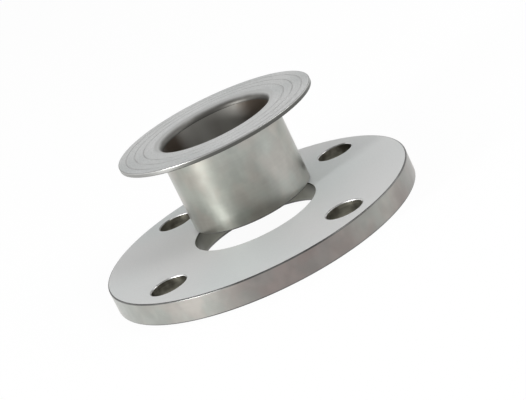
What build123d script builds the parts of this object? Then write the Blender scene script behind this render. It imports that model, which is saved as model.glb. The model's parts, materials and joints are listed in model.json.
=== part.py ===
from build123d import *
import os
from math import cos, radians, sin, tan

# A lap joint pipe connection of 2 in nominal size: a loose backing flange, and the stub end it goes with.
# The flange lies on its underside. The stub end stands on the flange's upper face, on its weld end,
# set back from the flange's axis so that its front edge overhangs the bore.
# The origin is on the flange's axis, at its underside. Lengths are in millimetres, angles in degrees.

# Backing flange
flange_diameter = 152.4
flange_thickness = 11.1
bolt_circle = 120.65
bolt_hole = 17.5
bolt_count = 4
first_bolt_bearing = 45
gap_round_pipe = 0.4
lap_corner_radius = 3.2
rim_chamfer = 0.6
hole_chamfer = 0.5
bore_chamfer = 0.4

# Stub end
pipe_diameter = 60.3
pipe_wall = 2.77
stub_height = 44.4
lap_diameter = 99.0
lap_thickness = 2.2
lap_edge_chamfer = 0.4
root_chamfer = 1.5
mouth_radius = 3.5
weld_bevel_angle = 37.5
weld_root_face = 1.6

# Sealing grooves in the lap's face
groove_count = 3
first_groove_radius = 36.2
groove_pitch = 4.6
groove_width = 0.8
groove_depth = 0.25

# Where the stub end stands on the flange
stub_offset = 21.1
stub_bearing = 93

flange_radius = flange_diameter / 2
pipe_radius = pipe_diameter / 2
pipe_bore_radius = pipe_radius - pipe_wall
bore_radius = pipe_radius + gap_round_pipe
lap_radius = lap_diameter / 2


def corner(section, x_side, y_side):
    """The section's corner furthest to that side, with 0 for the low side and -1 for the high side."""
    return section.vertices().group_by(Axis.X)[x_side].sort_by(Axis.Y)[y_side]


def make_backing_flange():
    """A plate ring turned to size, then drilled on the bolt circle with both edges of each hole broken."""
    with BuildPart() as flange:
        with BuildSketch(Plane.XZ) as section:
            with Locations((bore_radius, 0)):
                width = flange_radius - bore_radius
                Rectangle(width, flange_thickness, align=(Align.MIN, Align.MIN))
            chamfer(corner(section, 0, -1), bore_chamfer)
            fillet(corner(section, 0, 0), lap_corner_radius)
            chamfer(section.vertices().group_by(Axis.X)[-1], rim_chamfer)
        revolve(axis=Axis.Z)
        with PolarLocations(bolt_circle / 2, bolt_count, start_angle=first_bolt_bearing):
            Hole(bolt_hole / 2)
        chamfer(flange.edges(Select.LAST).filter_by(GeomType.CIRCLE), hole_chamfer)
    return flange.part


def make_stub_end():
    """A short pipe with its upper end flared into a flat lap, turned from one half section."""
    bevel_width = pipe_wall - weld_root_face
    bevel_height = bevel_width * tan(radians(weld_bevel_angle))
    lap_underside = stub_height - lap_thickness
    with BuildPart() as stub:
        with BuildSketch(Plane.XZ) as section:
            with BuildLine():
                Polyline(
                    (pipe_bore_radius, 0),
                    (pipe_radius - bevel_width, 0),
                    (pipe_radius, bevel_height),
                    (pipe_radius, lap_underside),
                    (lap_radius, lap_underside),
                    (lap_radius, stub_height),
                    (pipe_bore_radius, stub_height),
                    close=True,
                )
            make_face()
            root = section.vertices().sort_by_distance((pipe_radius, lap_underside))[0]
            chamfer(root, root_chamfer)
            fillet(corner(section, 0, -1), mouth_radius)
            chamfer(section.vertices().group_by(Axis.X)[-1], lap_edge_chamfer)
            for turn in range(groove_count):
                groove_radius = first_groove_radius + turn * groove_pitch
                with BuildLine():
                    Polyline(
                        (groove_radius - groove_width / 2, stub_height),
                        (groove_radius, stub_height - groove_depth),
                        (groove_radius + groove_width / 2, stub_height),
                        close=True,
                    )
                make_face(mode=Mode.SUBTRACT)
        revolve(axis=Axis.Z)
    x = stub_offset * cos(radians(stub_bearing))
    y = stub_offset * sin(radians(stub_bearing))
    return Pos(x, y, flange_thickness) * stub.part


os.makedirs("parts", exist_ok=True)
pieces = {
    "backing_flange": make_backing_flange(),
    "stub_end": make_stub_end(),
}
for name, piece in pieces.items():
    export_step(piece, f"parts/{name}.step")
    print(name, round(piece.volume / 1000, 2), "cm3", piece.bounding_box())
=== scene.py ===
"""A lap joint flange with its stub end standing on it, on a pale studio floor."""
import json
from math import cos, pi, radians, sin, tan

import bpy
from mathutils import Matrix, Vector


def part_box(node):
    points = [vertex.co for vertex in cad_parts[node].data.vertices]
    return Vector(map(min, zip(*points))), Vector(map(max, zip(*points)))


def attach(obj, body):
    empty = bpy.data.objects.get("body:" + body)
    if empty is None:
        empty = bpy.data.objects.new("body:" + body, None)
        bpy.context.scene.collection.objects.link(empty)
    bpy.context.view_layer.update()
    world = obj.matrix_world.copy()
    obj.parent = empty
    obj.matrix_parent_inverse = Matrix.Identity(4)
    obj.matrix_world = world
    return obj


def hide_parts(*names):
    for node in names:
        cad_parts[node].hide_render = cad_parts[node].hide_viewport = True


# Camera, about the middle of the flange's upper face
camera_bearing = radians(8.06)
camera_elevation = radians(17.48)
camera_roll = radians(-26.11)
camera_pan = radians(-0.26)
camera_tilt = radians(0.52)
camera_distance = 0.8052
focal_length_px = 1731
frame_width_px = 526
sensor_width = 36

# Forms that the record has no size for, in metres
mm = 0.001
pipe_wall = 2.77 * mm
lap_thickness = 2.2 * mm
mouth_radius = 3.5 * mm
root_radius = 1.8 * mm
lap_edge_radius = 0.4 * mm
weld_root_face = 1.6 * mm
weld_bevel_angle = radians(37.5)
flange_rim_radius = 0.6 * mm
flange_bore_edge = 0.4 * mm
flange_corner_radius = 3.2 * mm
hole_edge_radius = 0.5 * mm
first_groove_radius = 36.2 * mm
groove_pitch = 4.6 * mm
groove_width = 0.8 * mm
groove_depth = 0.25 * mm
groove_lip = 0.05 * mm
groove_count = 3

# Smoothness of the turned forms
turned_segments = 256
drilled_segments = 64
small_round_steps = 6
large_round_steps = 12
sharp_edge_angle = radians(30)
same_point = 0.0001 * mm
cutter_margin = 1 * mm

# Colours of the flange's steel; the rim's clouds are partly painted reflection and shade, the rim's edges,
# the bore wall and the bore's lower corner are painted shade, and the holes' bright edges are painted
# highlights
face_grey = (0.640, 0.640, 0.636)
face_cool = (0.612, 0.634, 0.629)
rim_grey_and_painted_reflection = (0.345, 0.348, 0.327)
rim_brown_and_painted_shade = (0.225, 0.205, 0.196)
edge_painted_shade_dark = (0.090, 0.088, 0.085)
edge_painted_shade_pale = (0.160, 0.160, 0.155)
bore_painted_shade_dark = (0.117, 0.118, 0.099)
bore_painted_shade_pale = (0.178, 0.179, 0.153)
bore_corner_painted_shade = (0.010, 0.010, 0.010)
hole_dark = (0.090, 0.084, 0.066)
hole_pale = (0.240, 0.232, 0.192)
hole_edge_dull = (0.300, 0.300, 0.290)
hole_edge_painted_highlight = (0.800, 0.800, 0.800)

# Colours of the stub end's steel; the tube's clouds and the inside's streaks are partly painted reflection
# and shade, the mouth, the grooves and the bevel carry painted shade, and the lap's edge has painted
# reflection on its top and left side and painted shade below
tube_dark_and_painted_shade = (0.305, 0.308, 0.280)
tube_pale_and_painted_reflection = (0.395, 0.400, 0.378)
mouth_painted_shade = (0.095, 0.092, 0.085)
mouth_pale = (0.600, 0.600, 0.590)
inside_brown_and_painted_shade = (0.106, 0.084, 0.066)
inside_painted_streak = (0.400, 0.395, 0.372)
lap_dark = (0.515, 0.525, 0.520)
lap_pale = (0.600, 0.600, 0.595)
groove_painted_shade_dark = (0.450, 0.450, 0.445)
groove_painted_shade_pale = (0.540, 0.540, 0.535)
lap_edge_left_painted_reflection = (0.260, 0.260, 0.250)
lap_edge_right_painted_shade = (0.100, 0.100, 0.093)
lap_edge_top_painted_reflection = (0.360, 0.360, 0.350)
bevel_painted_shade_dark = (0.025, 0.025, 0.022)
bevel_painted_shade_pale = (0.060, 0.060, 0.055)

# The roughness of a surface, from where its pattern is low to where it is high
face_roughness = (0.56, 0.64)
lap_roughness = (0.54, 0.62)
polished_roughness = (0.285, 0.34)

# The part of a pattern's range that counts, which runs from about 0.3 to 0.7 as a whole
whole_part = (0.30, 0.70)
middle_part = (0.35, 0.65)
face_tint_part = (0.40, 0.65)
# The next four ranges place painted reflection, shade, streaks and highlights
rim_reflection_part = (0.36, 0.64)
tube_reflection_part = (0.38, 0.62)
painted_streak_part = (0.44, 0.68)
painted_highlight_part = (0.46, 0.62)

# How much finer detail a pattern of spots or clouds holds
smooth_detail = 1
soft_detail = 1.5
fine_detail = 2

# Which of the possible patterns each surface has; on the rim, the tube and the inside they place painted
# reflection and shade, on the hole edges painted highlights, and in the mouth the wobble of its painted
# shade
rim_reflection_seed = 22.004
tube_reflection_seed = 22.004
inside_reflection_seed = 26.004
hole_edge_highlight_seed = 2.004
mouth_shade_seed = 3.004

# Small spots on the polished steel, warmer or greener and darker or lighter
mottle_scale = 90
mottle_finer = 1.7
mottle_upright = 0.8
rim_mottle_seed = 7.7
tube_mottle_seed = 3.7
mottle_seed_step = 5.3
cast_part = (0.38, 0.62)
warm_cast = (1.035, 0.990, 0.975)
green_cast = (0.978, 1.002, 0.990)
mottle_tones = (0.94, 1.06)

# Where one colour gives way to another on a surface, at the edges of painted shade and painted reflection
bore_corner_shade_heights = (0.8 * mm, 2.0 * mm)
mouth_shade_share = 0.10
mouth_pale_share = 0.55
mouth_wobble = 0.12 * mm
lap_edge_side = (-20 * mm, -8 * mm)
lap_edge_wobble = 12 * mm
lap_edge_low_share = 0.35
lap_edge_high_share = 0.10

# Where the Mix node has its colours among its sockets
mix_first = 6
mix_second = 7
mix_result = 2

# Floor and light
floor_half_width = 20
floor_gap = 0.2 * mm
floor_colour = (0.9, 0.9, 0.9)
floor_white_share = 0.95
horizon_colour = (0.55, 0.55, 0.55)
wall_height = 0.22
wall_colour = (0.71, 0.72, 0.72)
zenith_colour = (0.50, 0.50, 0.50)
lamp_distance = 1.0
lamp_target_height = 30 * mm

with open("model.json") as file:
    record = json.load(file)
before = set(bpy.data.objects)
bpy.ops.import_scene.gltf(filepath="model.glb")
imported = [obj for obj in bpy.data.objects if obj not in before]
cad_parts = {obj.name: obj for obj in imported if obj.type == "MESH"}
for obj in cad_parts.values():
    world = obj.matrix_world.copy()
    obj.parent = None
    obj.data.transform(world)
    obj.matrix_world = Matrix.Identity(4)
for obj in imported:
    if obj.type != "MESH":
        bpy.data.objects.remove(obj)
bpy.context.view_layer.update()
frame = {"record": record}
mounts = {mount["name"]: mount["dims"] for mount in frame["record"]["mounts"]}
flange_low, flange_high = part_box("backing_flange")
stub_low, stub_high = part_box("stub_end")
flange_radius = (flange_high.x - flange_low.x) / 2
flange_thickness = flange_high.z - flange_low.z
flange_bore_radius = mounts["flange_bore"]["r_mm"] * mm
bolt_circle_radius = mounts["bolt_circle"]["pcd_mm"] / 2 * mm
bolt_hole_radius = mounts["bolt_circle"]["hole_r_mm"] * mm
bolt_count = mounts["bolt_circle"]["count"]
first_bolt_angle = pi / bolt_count
stub_centre = (stub_low + stub_high) / 2
stub_foot = Vector((stub_centre.x, stub_centre.y, stub_low.z))
stub_height = stub_high.z - stub_low.z
lap_radius = (stub_high.x - stub_low.x) / 2
pipe_bore_radius = mounts["pipe_bore"]["r_mm"] * mm
pipe_radius = pipe_bore_radius + pipe_wall


def arc(centre, radius, start, end, steps):
    """Points of an arc in a half section, both ends included. The angles are in degrees: 0 points away from
    the axis, and 90 up."""
    points = []
    for step in range(steps + 1):
        angle = radians(start + (end - start) * step / steps)
        points.append((centre[0] + radius * cos(angle), centre[1] + radius * sin(angle)))
    return points


def outline_of(runs):
    """Joins runs of (finish, points) into one outline. Each point's finish covers the stretch from there to
    the next point, so where two runs share a point, the later finish holds."""
    points = []
    finishes = []
    for finish, run in runs:
        for point in run:
            if points and (Vector(point) - Vector(points[-1])).length < same_point:
                finishes[-1] = finish
            else:
                points.append(point)
                finishes.append(finish)
    return points, finishes


def turned_piece(name, runs, finishes, segments, capped=False):
    """Revolves an outline about Z. A capped one is open towards the axis, and its ends are closed flat."""
    points, names = outline_of(runs)
    count = len(points)
    verts = []
    for segment in range(segments):
        angle = 2 * pi * segment / segments
        for radius, height in points:
            verts.append((radius * cos(angle), radius * sin(angle), height))
    order = list(finishes)
    faces = []
    numbers = []
    for segment in range(segments):
        here = segment * count
        there = (segment + 1) % segments * count
        for point in range(count - 1 if capped else count):
            following = (point + 1) % count
            faces.append((here + point, there + point, there + following, here + following))
            numbers.append(order.index(names[point]))
    if capped:
        faces.append([segment * count for segment in reversed(range(segments))])
        faces.append([segment * count + count - 1 for segment in range(segments)])
        numbers += [0, 0]
    mesh = bpy.data.meshes.new(name)
    mesh.from_pydata(verts, [], faces)
    for finish in order:
        mesh.materials.append(finishes[finish])
    mesh.polygons.foreach_set("material_index", numbers)
    mesh.update()
    piece = bpy.data.objects.new(name, mesh)
    bpy.context.scene.collection.objects.link(piece)
    return piece


def smooth(piece):
    """Smooth shading that breaks at real edges and keeps the flat faces flat."""
    piece.data.shade_smooth()
    piece.data.set_sharp_from_angle(angle=sharp_edge_angle)
    weighted = piece.modifiers.new("flat faces stay flat", "WEIGHTED_NORMAL")
    weighted.keep_sharp = True


def drill(plate, place, finishes):
    """Cuts one bolt hole, with both its edges rounded, through the plate."""
    top = flange_thickness
    edge = hole_edge_radius
    mouth = bolt_hole_radius + edge
    runs = [
        ("hole", [(mouth, -cutter_margin)]),
        ("hole_edge", arc((mouth, edge), edge, 270, 180, small_round_steps)),
        ("hole", [(bolt_hole_radius, edge)]),
        ("hole_edge", arc((mouth, top - edge), edge, 180, 90, small_round_steps)),
        ("hole", [(mouth, top + cutter_margin)]),
    ]
    cutter = turned_piece("cutter", runs, finishes, drilled_segments, capped=True)
    cutter.location = place
    cut = plate.modifiers.new("hole", "BOOLEAN")
    cut.operation = "DIFFERENCE"
    cut.solver = "EXACT"
    cut.object = cutter
    graph = bpy.context.evaluated_depsgraph_get()
    drilled = bpy.data.meshes.new_from_object(plate.evaluated_get(graph))
    plate.modifiers.remove(cut)
    plate.data = drilled
    bpy.data.objects.remove(cutter)


def make_flange(finishes):
    """The loose plate ring, with a rounded corner at the lower end of its bore and four drilled holes."""
    top = flange_thickness
    rim = flange_rim_radius
    edge = flange_bore_edge
    corner = flange_corner_radius
    runs = [
        ("bore", arc((flange_bore_radius + corner, corner), corner, 180, 270, large_round_steps)),
        ("face", [(flange_bore_radius + corner, 0)]),
        ("edge", arc((flange_radius - rim, rim), rim, -90, 0, small_round_steps)),
        ("rim", [(flange_radius, rim)]),
        ("edge", arc((flange_radius - rim, top - rim), rim, 0, 90, small_round_steps)),
        ("face", [(flange_radius - rim, top)]),
        ("bore", arc((flange_bore_radius + edge, top - edge), edge, 90, 180, small_round_steps)),
    ]
    flange = turned_piece("turned_flange", runs, finishes, turned_segments)
    for hole in range(bolt_count):
        angle = first_bolt_angle + 2 * pi * hole / bolt_count
        drill(flange, (bolt_circle_radius * cos(angle), bolt_circle_radius * sin(angle), 0), finishes)
    smooth(flange)
    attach(flange, "root")
    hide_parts("backing_flange")


def lap_face_runs():
    """The lap's flat face from its rim inwards, with the sealing grooves turned into it."""
    runs = []
    for turn in reversed(range(groove_count)):
        middle = first_groove_radius + turn * groove_pitch
        half = groove_width / 2
        lip = stub_height - groove_lip / 2
        bottom = stub_height - groove_depth
        runs.append(("lap", [(middle + half + groove_lip, stub_height)]))
        runs.append(("groove", [(middle + half, lip), (middle, bottom), (middle - half, lip)]))
        runs.append(("lap", [(middle - half - groove_lip, stub_height)]))
    return runs


def make_stub_end(finishes):
    """The short pipe, bevelled for welding at its foot and flared into a flat lap at its head."""
    bevel_width = pipe_wall - weld_root_face
    bevel_height = bevel_width * tan(weld_bevel_angle)
    underside = stub_height - lap_thickness
    edge = lap_edge_radius
    root = root_radius
    mouth = mouth_radius
    runs = [
        ("bevel", [(pipe_bore_radius, 0), (pipe_radius - bevel_width, 0)]),
        ("tube", [(pipe_radius, bevel_height)]),
        ("tube", arc((pipe_radius + root, underside - root), root, 180, 90, large_round_steps)),
        ("lap_edge", arc((lap_radius - edge, underside + edge), edge, -90, 0, small_round_steps)),
        ("lap_edge", arc((lap_radius - edge, stub_height - edge), edge, 0, 90, small_round_steps)),
        ("lap", [(lap_radius - edge, stub_height)]),
        *lap_face_runs(),
        ("mouth", arc((pipe_bore_radius + mouth, stub_height - mouth), mouth, 90, 180, large_round_steps)),
        ("inside", [(pipe_bore_radius, stub_height - mouth)]),
    ]
    stub = turned_piece("flared_stub_end", runs, finishes, turned_segments)
    stub.location = stub_foot
    smooth(stub)
    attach(stub, "root")
    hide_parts("stub_end")


class Nodes:
    """The node tree of a material or a world, to which short calls add nodes."""

    def __init__(self, owner):
        owner.use_nodes = True
        self.nodes = owner.node_tree.nodes
        self.links = owner.node_tree.links

    def put(self, value, socket):
        """Gives a socket another node's output, a colour or a number."""
        if isinstance(value, bpy.types.NodeSocket):
            self.links.new(value, socket)
        elif socket.type == "RGBA":
            socket.default_value = (*value, 1)
        else:
            socket.default_value = value

    def node(self, kind, inputs, **settings):
        """A new node of a kind, with its settings and what goes into it."""
        node = self.nodes.new("ShaderNode" + kind)
        for setting, value in settings.items():
            setattr(node, setting, value)
        for socket, value in inputs.items():
            self.put(value, node.inputs[socket])
        return node

    def math(self, operation, first, second=0.0):
        """The result of a sum on one or two numbers."""
        return self.node("Math", {0: first, 1: second}, operation=operation).outputs[0]


class Finish(Nodes):
    """A procedural steel, on coordinates about the piece's own axis."""

    def __init__(self, name, metallic):
        self.material = bpy.data.materials.new(name)
        super().__init__(self.material)
        self.shader = self.nodes["Principled BSDF"]
        self.shader.inputs["Metallic"].default_value = metallic
        self.place = self.node("TexCoord", {}).outputs["Object"]
        split = self.node("SeparateXYZ", {"Vector": self.place})
        self.x = split.outputs["X"]
        self.y = split.outputs["Y"]
        self.height = split.outputs["Z"]
        x_square = self.math("MULTIPLY", self.x, self.x)
        y_square = self.math("MULTIPLY", self.y, self.y)
        self.radius = self.math("SQRT", self.math("ADD", x_square, y_square))

    def vector(self, x, y, z):
        """Three numbers as one vector."""
        return self.node("CombineXYZ", {"X": x, "Y": y, "Z": z}).outputs[0]

    def stretched(self, level, upright):
        """The piece's own coordinates, stretched, so that a pattern runs upright or round the piece."""
        return self.vector(
            self.math("MULTIPLY", self.x, level),
            self.math("MULTIPLY", self.y, level),
            self.math("MULTIPLY", self.height, upright))

    def noise(self, where, scale, detail=fine_detail, seed=0.0):
        """A pattern of soft spots, of which about as many as the scale lie along a metre."""
        inputs = {"Vector": where, "W": seed, "Scale": scale, "Detail": detail}
        return self.node("TexNoise", inputs, noise_dimensions="4D").outputs["Fac"]

    def turned_rings(self, scale):
        """Fine rings left by a lathe on a flat face, uneven from ring to ring."""
        return self.noise(self.vector(self.radius, 0, 0), scale, smooth_detail)

    def turned_lines(self, scale):
        """Fine level lines left by a lathe on a side, each the same all round."""
        return self.noise(self.vector(0, 0, self.height), scale)

    def drawn_lines(self, level, upright):
        """Fine level lines that come and go along their length."""
        return self.noise(self.stretched(level, upright), scale=1)

    def ranged(self, value, part, to):
        """A part of a value's range brought softly to another range, and level beyond both its ends."""
        inputs = {"Value": value, "From Min": part[0], "From Max": part[1], "To Min": to[0], "To Max": to[1]}
        return self.node("MapRange", inputs, interpolation_type="SMOOTHSTEP").outputs["Result"]

    def patched(self, pattern, part, first, second):
        """The first colour where a pattern is low and the second where it is high."""
        inputs = {"Factor": self.ranged(pattern, part, to=(0, 1)), mix_first: first, mix_second: second}
        return self.node("Mix", inputs, data_type="RGBA").outputs[mix_result]

    def toned(self, colour, tone):
        """The colour made lighter or darker by a tone about 1."""
        return self.node("VectorMath", {0: colour, "Scale": tone}, operation="SCALE").outputs[0]

    def mottled(self, colour, seed):
        """The colour with small cloudy spots in it, a little warmer in some places and greener in others."""
        where = self.stretched(level=1, upright=mottle_upright)
        warmth = self.noise(where, mottle_scale, seed=seed)
        light = self.noise(where, mottle_scale * mottle_finer, seed=seed + mottle_seed_step)
        cast = self.patched(warmth, cast_part, warm_cast, green_cast)
        tinted = self.node("VectorMath", {0: colour, 1: cast}, operation="MULTIPLY").outputs[0]
        return self.toned(tinted, self.ranged(light, middle_part, to=mottle_tones))

    def finish(self, colour, roughness, relief, depth):
        """The material with its colour, its roughness and a fine relief of that depth."""
        self.put(colour, self.shader.inputs["Base Color"])
        self.put(roughness, self.shader.inputs["Roughness"])
        bump = self.node("Bump", {"Strength": 1, "Distance": depth, "Height": relief})
        self.put(bump.outputs[0], self.shader.inputs["Normal"])
        return self.material


def face_finish():
    """The flange's flat faces: satin, almost even, a little cooler in places."""
    steel = Finish("flange_face", metallic=0.35)
    tint = steel.noise(steel.place, scale=14, detail=smooth_detail)
    grain = steel.noise(steel.place, scale=2200)
    rings = steel.turned_rings(scale=1500)
    colour = steel.patched(tint, face_tint_part, face_grey, face_cool)
    grain_tone = steel.ranged(grain, whole_part, to=(0.97, 1.01))
    tone = steel.math("ADD", grain_tone, steel.ranged(rings, middle_part, to=(-0.015, 0.015)))
    roughness = steel.ranged(rings, whole_part, to=face_roughness)
    relief = steel.math("ADD", grain, rings)
    return steel.finish(steel.toned(colour, tone), roughness, relief, depth=0.004 * mm)


def rim_finish():
    """The flange's turned side: brighter polish, clouded with warm brown and greenish grey, the clouds
    partly the steel's tint and partly painted reflection and shade.
    """
    steel = Finish("flange_rim", metallic=0.9)
    where = steel.stretched(level=1, upright=0.5)
    clouds = steel.noise(where, scale=22, detail=soft_detail, seed=rim_reflection_seed)
    lines = steel.turned_lines(scale=2600)
    # Grey and brown clouds: partly the steel's tint, partly painted reflection and shade placed along the
    # rim
    colour = steel.mottled(steel.patched(clouds, rim_reflection_part, rim_grey_and_painted_reflection, rim_brown_and_painted_shade), rim_mottle_seed)
    tone = steel.ranged(lines, whole_part, to=(0.98, 1.02))
    roughness = steel.ranged(clouds, whole_part, to=polished_roughness)
    return steel.finish(steel.toned(colour, tone), roughness, lines, depth=0.002 * mm)


def edge_finish():
    """The rounded edges of the flange's rim, painted darker than both the face and the side as shade for the
    dark surroundings they reflect.
    """
    steel = Finish("flange_edge", metallic=1.0)
    painted_light_and_relief = steel.noise(steel.place, scale=60)
    # Painted shade: the edges are dark for the dark surroundings they reflect, in patches of two tones
    colour = steel.patched(painted_light_and_relief, middle_part, edge_painted_shade_dark, edge_painted_shade_pale)
    return steel.finish(colour, roughness=0.38, relief=painted_light_and_relief, depth=0.01 * mm)


def bore_finish():
    """The wall of the flange's bore: bored, with fine feed lines round it, painted dark as shade in the
    bore, and painted near black as shade at its lower corner.
    """
    steel = Finish("flange_bore", metallic=0.9)
    lines = steel.turned_lines(scale=1800)
    clouds = steel.noise(steel.place, scale=70)
    # Painted shade: the wall is darker than the rim for the shade in the bore, and near black towards its
    # lower corner
    wall = steel.patched(clouds, whole_part, bore_painted_shade_dark, bore_painted_shade_pale)
    colour = steel.patched(steel.height, bore_corner_shade_heights, bore_corner_painted_shade, wall)
    return steel.finish(colour, roughness=0.40, relief=lines, depth=0.002 * mm)


def hole_finish():
    """The bolt holes' walls: drilled, darker and browner than the faces."""
    steel = Finish("flange_hole", metallic=0.9)
    lines = steel.drawn_lines(level=40, upright=1500)
    patches = steel.noise(steel.place, scale=160)
    colour = steel.patched(patches, middle_part, hole_dark, hole_pale)
    tone = steel.ranged(lines, whole_part, to=(0.85, 1.1))
    return steel.finish(steel.toned(colour, tone), roughness=0.40, relief=lines, depth=0.006 * mm)


def hole_edge_finish():
    """The rounded edges of the bolt holes, dull grey with painted highlights in spots."""
    steel = Finish("flange_hole_edge", metallic=0.9)
    painted_light_and_relief = steel.noise(steel.place, scale=130, detail=smooth_detail, seed=hole_edge_highlight_seed)
    # Painted highlights: spots of near white along the hole edges
    colour = steel.patched(painted_light_and_relief, painted_highlight_part, hole_edge_dull, hole_edge_painted_highlight)
    return steel.finish(colour, roughness=0.45, relief=painted_light_and_relief, depth=0.01 * mm)


def tube_finish():
    """The pipe's outside: rolled and polished, with soft upright clouds, partly the steel's tone and partly
    painted reflection and shade.
    """
    steel = Finish("stub_tube", metallic=0.9)
    where = steel.stretched(level=1, upright=0.3)
    clouds = steel.noise(where, scale=26, detail=soft_detail, seed=tube_reflection_seed)
    lines = steel.drawn_lines(level=10, upright=900)
    # Dark and pale clouds: partly the steel's tone, partly painted reflection and shade placed round the
    # tube
    colour = steel.mottled(steel.patched(clouds, tube_reflection_part, tube_dark_and_painted_shade, tube_pale_and_painted_reflection), tube_mottle_seed)
    tone = steel.ranged(lines, whole_part, to=(0.985, 1.01))
    roughness = steel.ranged(clouds, whole_part, to=polished_roughness)
    return steel.finish(steel.toned(colour, tone), roughness, lines, depth=0.001 * mm)


def mouth_finish():
    """The rounded mouth of the pipe: as pale as the lap where it leaves it, and painted dark as shade where
    it turns down.
    """
    steel = Finish("stub_mouth", metallic=0.9)
    painted_light_and_relief = steel.noise(steel.place, scale=90, seed=mouth_shade_seed)
    wobble = steel.ranged(painted_light_and_relief, whole_part, to=(-mouth_wobble, mouth_wobble))
    across = steel.math("ADD", steel.radius, wobble)
    dark_to = pipe_bore_radius + mouth_shade_share * mouth_radius
    pale_from = pipe_bore_radius + mouth_pale_share * mouth_radius
    # Painted shade: dark where the mouth turns down into the pipe, with a slightly wobbling edge
    colour = steel.patched(across, (dark_to, pale_from), mouth_painted_shade, mouth_pale)
    return steel.finish(colour, roughness=0.48, relief=painted_light_and_relief, depth=0.01 * mm)


def inside_finish():
    """The pipe's inside: left as rolled, a little brown and painted dark as shade, with pale upright streaks
    that are painted reflections.
    """
    steel = Finish("stub_inside", metallic=0.8)
    where = steel.stretched(level=1, upright=0.15)
    streaks = steel.noise(where, scale=45, detail=soft_detail, seed=inside_reflection_seed)
    lines = steel.drawn_lines(level=10, upright=900)
    # Painted shade in the dark brown, and painted reflections in the pale streaks
    colour = steel.patched(streaks, painted_streak_part, inside_brown_and_painted_shade, inside_painted_streak)
    return steel.finish(colour, roughness=0.40, relief=lines, depth=0.003 * mm)


def lap_finish():
    """The lap's sealing face: finely turned, its rings just visible."""
    steel = Finish("stub_lap", metallic=0.4)
    rings = steel.turned_rings(scale=2600)
    patches = steel.noise(steel.place, scale=22)
    speckle = steel.noise(steel.place, scale=1300, detail=smooth_detail)
    colour = steel.patched(patches, middle_part, lap_dark, lap_pale)
    ring_tone = steel.ranged(rings, middle_part, to=(0.93, 1.02))
    tone = steel.math("ADD", ring_tone, steel.ranged(speckle, whole_part, to=(-0.08, 0.08)))
    roughness = steel.ranged(rings, whole_part, to=lap_roughness)
    return steel.finish(steel.toned(colour, tone), roughness, rings, depth=0.01 * mm)


def groove_finish():
    """The cut sealing grooves, painted a little darker than the lap as shade in them."""
    steel = Finish("stub_groove", metallic=0.4)
    groove_shade_patches = steel.noise(steel.place, scale=120)
    # Painted shade: patches of two tones, both darker than the lap
    colour = steel.patched(groove_shade_patches, middle_part, groove_painted_shade_dark, groove_painted_shade_pale)
    return steel.finish(colour, roughness=0.55, relief=groove_shade_patches, depth=0.005 * mm)


def lap_edge_finish():
    """The lap's turned edge: pale at its top like the lap, and darker below, least so at its left side; the
    pale top and left are painted reflection, and the dark below is painted shade.
    """
    steel = Finish("stub_lap_edge", metallic=0.95)
    clouds = steel.noise(steel.place, scale=30, detail=soft_detail)
    side = steel.math("ADD", steel.x, steel.math("MULTIPLY", clouds, lap_edge_wobble))
    # Painted reflection on the left side and at the top, painted shade lower down on the right
    low = steel.patched(side, lap_edge_side, lap_edge_left_painted_reflection, lap_edge_right_painted_shade)
    dark_to = stub_height - lap_edge_low_share * lap_thickness
    pale_from = stub_height - lap_edge_high_share * lap_thickness
    colour = steel.patched(steel.height, (dark_to, pale_from), low, lap_edge_top_painted_reflection)
    return steel.finish(colour, roughness=0.38, relief=clouds, depth=0.01 * mm)


def bevel_finish():
    """The weld bevel at the pipe's foot: rough, and painted dark as shade under the tube."""
    steel = Finish("stub_bevel", metallic=0.2)
    bevel_shade_patches = steel.noise(steel.place, scale=300)
    # Painted shade: near black in patches of two tones
    colour = steel.patched(bevel_shade_patches, whole_part, bevel_painted_shade_dark, bevel_painted_shade_pale)
    return steel.finish(colour, roughness=0.65, relief=bevel_shade_patches, depth=0.02 * mm)


def make_floor():
    """A pale floor that reads as white behind the object and still takes its shadow."""
    half = floor_half_width
    corners = [(-half, -half, 0), (half, -half, 0), (half, half, 0), (-half, half, 0)]
    mesh = bpy.data.meshes.new("floor")
    mesh.from_pydata(corners, [], [(0, 1, 2, 3)])
    floor = bpy.data.objects.new("floor", mesh)
    bpy.context.scene.collection.objects.link(floor)
    floor.location.z = -floor_gap
    material = bpy.data.materials.new("floor")
    tree = Nodes(material)
    tree.nodes.clear()
    rays = tree.node("LightPath", {}).outputs
    seen = tree.math("MAXIMUM", rays["Is Camera Ray"], rays["Is Glossy Ray"])
    seen_or_through = tree.math("MAXIMUM", seen, rays["Is Transmission Ray"])
    white_share = tree.math("MULTIPLY", seen_or_through, floor_white_share)
    paint = tree.node("BsdfDiffuse", {"Color": floor_colour}).outputs[0]
    white = tree.node("Emission", {}).outputs[0]
    mix = tree.node("MixShader", {0: white_share, 1: paint, 2: white}).outputs[0]
    tree.node("OutputMaterial", {"Surface": mix})
    mesh.materials.append(material)


def make_world():
    """A pale studio, its walls a little lighter than its horizon and its ceiling."""
    world = bpy.data.worlds.new("studio")
    bpy.context.scene.world = world
    tree = Nodes(world)
    direction = tree.node("TexCoord", {}).outputs["Generated"]
    height = tree.node("SeparateXYZ", {"Vector": direction}).outputs["Z"]
    ramp = tree.node("ValToRGB", {"Fac": height})
    stops = ramp.color_ramp.elements
    stops[0].color = (*horizon_colour, 1)
    stops[1].color = (*zenith_colour, 1)
    wall = stops.new(wall_height)
    wall.color = (*wall_colour, 1)
    tree.put(ramp.outputs["Color"], tree.nodes["Background"].inputs["Color"])


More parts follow.
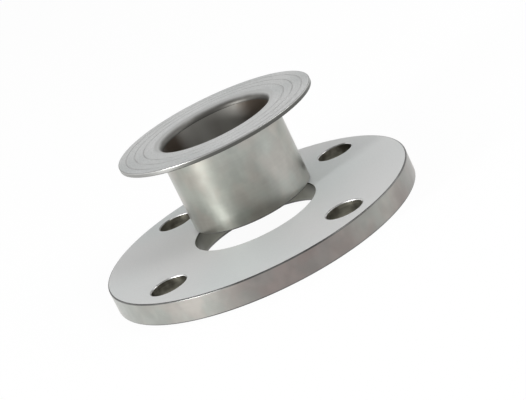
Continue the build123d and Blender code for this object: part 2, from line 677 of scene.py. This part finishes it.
def add_lamp(name, turn, elevation, width, height, power):
    """A soft box facing the object, turned that many degrees clockwise from the camera's side. The camera
    doesn't see it."""
    light = bpy.data.lights.new(name, "AREA")
    light.shape = "RECTANGLE"
    light.size = width
    light.size_y = height
    light.energy = power
    lamp = bpy.data.objects.new(name, light)
    bearing = camera_bearing - pi / 2 - radians(turn)
    level = lamp_distance * cos(radians(elevation))
    rise = lamp_distance * sin(radians(elevation))
    target = Vector((0, 0, lamp_target_height))
    lamp.location = target + Vector((level * cos(bearing), level * sin(bearing), rise))
    lamp.rotation_euler = (target - lamp.location).to_track_quat("-Z", "Y").to_euler()
    lamp.visible_camera = False
    bpy.context.scene.collection.objects.link(lamp)


def make_camera():
    """Stands where the photograph was taken from, turned on its side as the photograph was."""
    camera = bpy.data.cameras.new("camera")
    camera.sensor_width = sensor_width
    camera.lens = focal_length_px * sensor_width / frame_width_px
    holder = bpy.data.objects.new("camera", camera)
    bearing = Matrix.Rotation(camera_bearing, 4, "Z")
    down = Matrix.Rotation(pi / 2 - camera_elevation, 4, "X")
    roll = Matrix.Rotation(camera_roll, 4, "Z")
    pan = Matrix.Rotation(camera_pan, 4, "Y")
    tilt = Matrix.Rotation(camera_tilt, 4, "X")
    aim = Matrix.Translation((0, 0, flange_thickness)) @ bearing @ down
    holder.matrix_world = aim @ Matrix.Translation((0, 0, camera_distance)) @ roll @ pan @ tilt
    bpy.context.scene.collection.objects.link(holder)
    bpy.context.scene.camera = holder


make_flange({
    "face": face_finish(),
    "rim": rim_finish(),
    "edge": edge_finish(),
    "bore": bore_finish(),
    "hole": hole_finish(),
    "hole_edge": hole_edge_finish(),
})
make_stub_end({
    "tube": tube_finish(),
    "bevel": bevel_finish(),
    "lap_edge": lap_edge_finish(),
    "lap": lap_finish(),
    "groove": groove_finish(),
    "mouth": mouth_finish(),
    "inside": inside_finish(),
})
make_floor()
make_world()
add_lamp("left front", turn=60, elevation=7, width=0.20, height=0.24, power=13.5)
add_lamp("left back", turn=110, elevation=12, width=0.60, height=0.60, power=1.6)
add_lamp("right back", turn=240, elevation=12, width=0.60, height=0.60, power=1.7)
add_lamp("right", turn=285, elevation=12, width=0.40, height=0.40, power=2.4)
add_lamp("right front, high", turn=300, elevation=45, width=0.40, height=0.40, power=2.4)
make_camera()
bpy.context.scene.view_settings.view_transform = "Standard"
